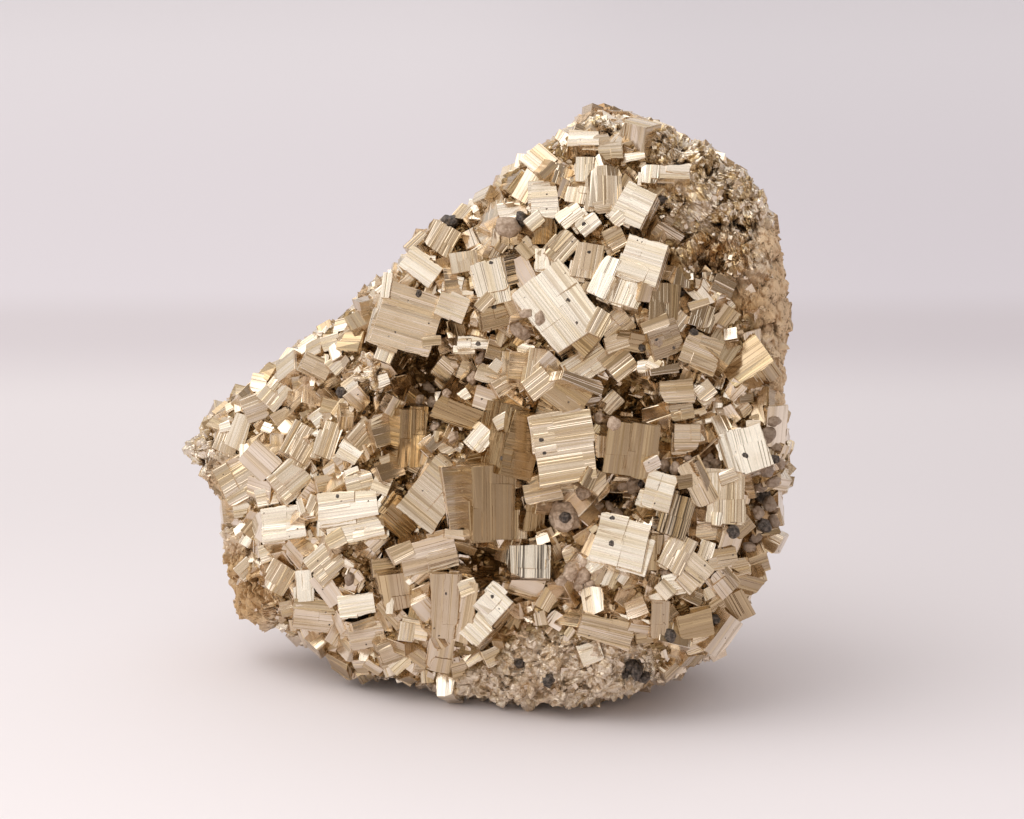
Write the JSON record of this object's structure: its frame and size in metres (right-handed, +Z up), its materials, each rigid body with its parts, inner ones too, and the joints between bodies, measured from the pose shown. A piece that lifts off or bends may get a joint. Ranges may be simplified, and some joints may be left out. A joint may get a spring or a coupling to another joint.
{
  "type": "pyrite specimen",
  "caption": "Free-standing hand specimen of pyrite: striated brassy cubes of many sizes grown together on a rough matrix.",
  "frame": {"origin": "middle of the flat patch that the specimen rests on", "axes": "+X along the specimen's length, towards its high end; +Y to the back, away from the crystal face; +Z up"},
  "size_m": [0.0806, 0.0529, 0.0745],
  "materials": {
    "pyrite": "Metallic pale brass, mirror bright on the striated cube faces and sparkling to dull brown on the granular matrix."
  },
  "bodies": {
    "root": {"pyrite_cluster": "pyrite"}
  },
  "joints": []
}
